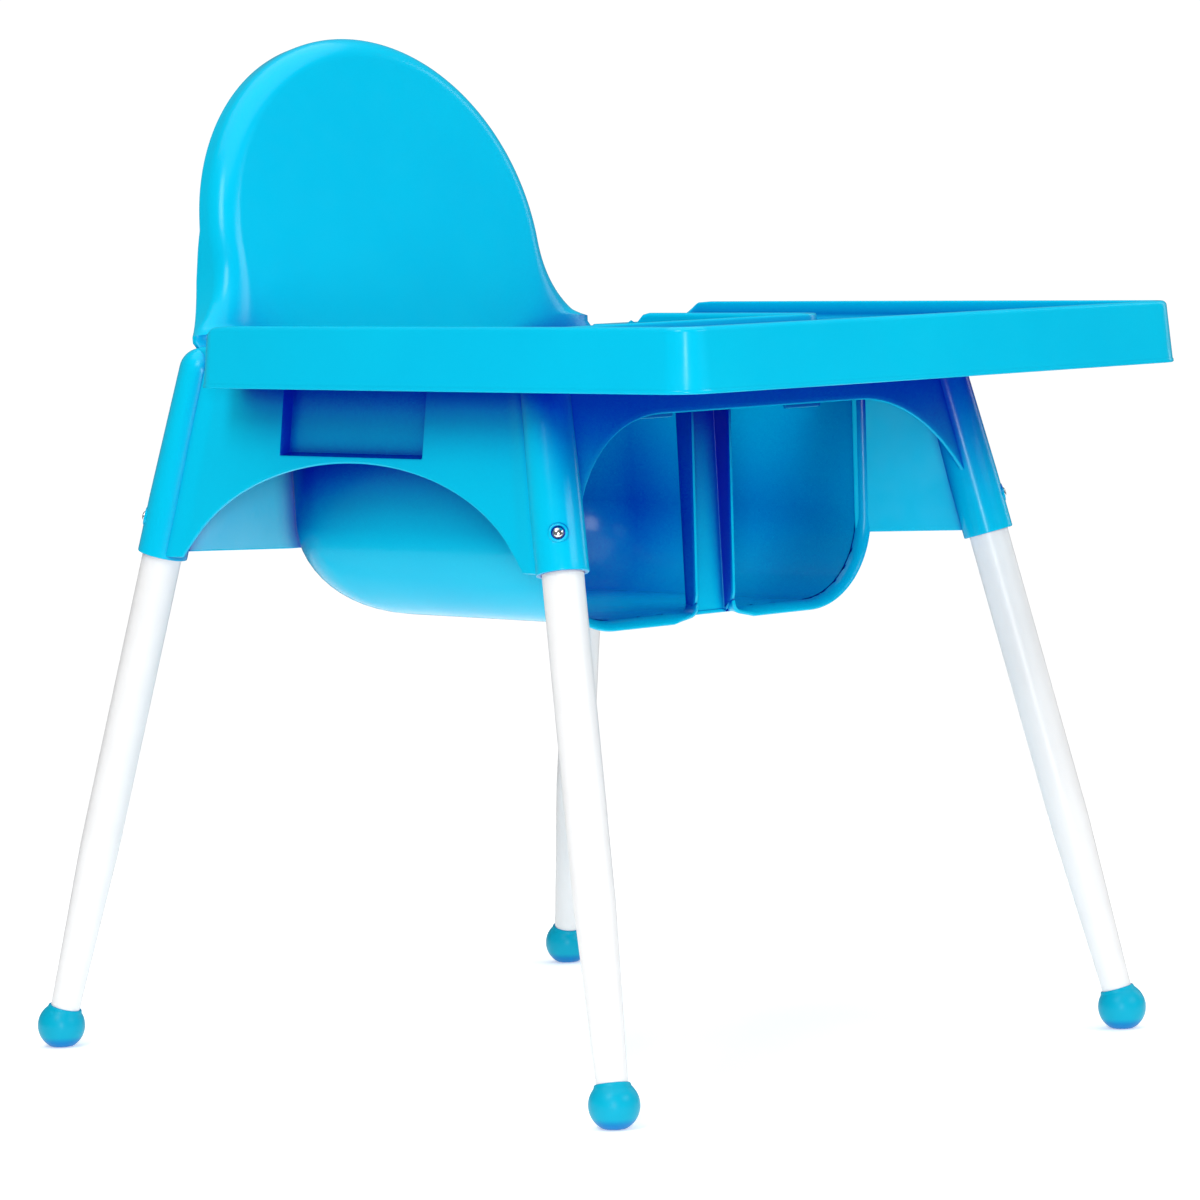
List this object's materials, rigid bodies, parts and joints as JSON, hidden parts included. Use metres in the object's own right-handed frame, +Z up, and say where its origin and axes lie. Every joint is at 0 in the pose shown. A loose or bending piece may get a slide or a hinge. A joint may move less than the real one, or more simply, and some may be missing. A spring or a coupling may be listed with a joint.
{
  "type": "baby high chair",
  "caption": "Baby high chair: one moulded seat with a tall arched back and leg openings, on splayed tube legs with ball feet, and a lift-off tray.",
  "frame": {"origin": "on the floor, at the middle of the chair's overall width and depth", "axes": "+Z up, -Y towards the tray, +X to the right of someone who faces +Y"},
  "size_m": [0.542, 0.6595, 0.7179],
  "materials": {
    "blue_plastic": "gloss moulded polypropylene",
    "foot_plastic": "satin moulded cap",
    "white_paint": "white powder coat",
    "bright_steel": "polished steel",
    "spring_steel": "plain spring steel"
  },
  "bodies": {
    "frame": {"seat_bucket": "blue_plastic", "seat_rim": "blue_plastic", "seat_backrest": "blue_plastic", "front_left_leg": "white_paint", "front_right_leg": "white_paint", "rear_left_leg": "white_paint", "rear_right_leg": "white_paint", "front_left_foot": "foot_plastic", "front_right_foot": "foot_plastic", "rear_left_foot": "foot_plastic", "rear_right_foot": "foot_plastic", "front_left_button_spring": "spring_steel", "front_right_button_spring": "spring_steel", "rear_left_button_spring": "spring_steel", "rear_right_button_spring": "spring_steel"},
    "tray": {"tray": "blue_plastic"},
    "front_left_button": {"front_left_button": "bright_steel"},
    "front_right_button": {"front_right_button": "bright_steel"},
    "rear_left_button": {"rear_left_button": "bright_steel"},
    "rear_right_button": {"rear_right_button": "bright_steel"}
  },
  "joints": [
    {"name": "tray_lift", "type": "slide", "parent": "frame", "child": "tray", "axis": [0, 0, 1], "range_m": [0, 0.12]},
    {"name": "front_left_button_press", "type": "slide", "parent": "frame", "child": "front_left_button", "axis": [0.6983, 0.6726, -0.245], "range_m": [0, 0.0058], "stiffness_N_per_m": 800, "springref_m": -0.004, "deforming": ["front_left_button_spring"]},
    {"name": "front_right_button_press", "type": "slide", "parent": "frame", "child": "front_right_button", "axis": [-0.6983, 0.6726, -0.245], "range_m": [0, 0.0058], "stiffness_N_per_m": 800, "springref_m": -0.004, "deforming": ["front_right_button_spring"]},
    {"name": "rear_left_button_press", "type": "slide", "parent": "frame", "child": "rear_left_button", "axis": [0.6983, -0.6726, -0.245], "range_m": [0, 0.0058], "stiffness_N_per_m": 800, "springref_m": -0.004, "deforming": ["rear_left_button_spring"]},
    {"name": "rear_right_button_press", "type": "slide", "parent": "frame", "child": "rear_right_button", "axis": [-0.6983, -0.6726, -0.245], "range_m": [0, 0.0058], "stiffness_N_per_m": 800, "springref_m": -0.004, "deforming": ["rear_right_button_spring"]}
  ]
}
